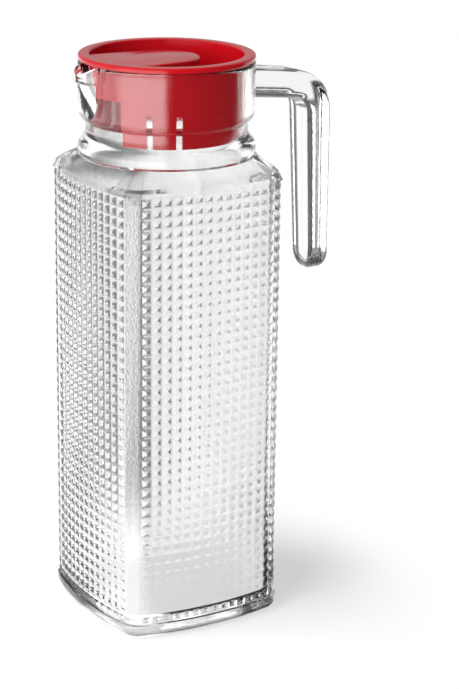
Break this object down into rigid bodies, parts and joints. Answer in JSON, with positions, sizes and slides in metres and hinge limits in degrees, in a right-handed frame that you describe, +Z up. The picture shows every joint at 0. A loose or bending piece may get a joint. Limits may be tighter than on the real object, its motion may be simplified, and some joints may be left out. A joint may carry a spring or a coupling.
{
  "type": "water pitcher",
  "caption": "Tall square jug of clear pressed glass with a waffle surface, round neck, pouring lip and open handle, closed by a recessed red plastic lid that lifts out.",
  "frame": {"origin": "centre of the foot on the neck axis, in the plane the jug stands on", "axes": "+Z up along the neck axis, +X towards the handle, -X towards the pouring lip"},
  "size_m": [0.1356, 0.0936, 0.2771],
  "materials": {
    "clear_glass": "pressed clear glass with fine pyramids on the four bowed sides",
    "red_plastic": "glossy moulded"
  },
  "bodies": {
    "jug": {"glass_jug": "clear_glass"},
    "lid": {"lid": "red_plastic"}
  },
  "joints": [
    {"name": "lid_lift", "type": "slide", "parent": "jug", "child": "lid", "axis": [0, 0, 1], "range_m": [0, 0.06]}
  ]
}
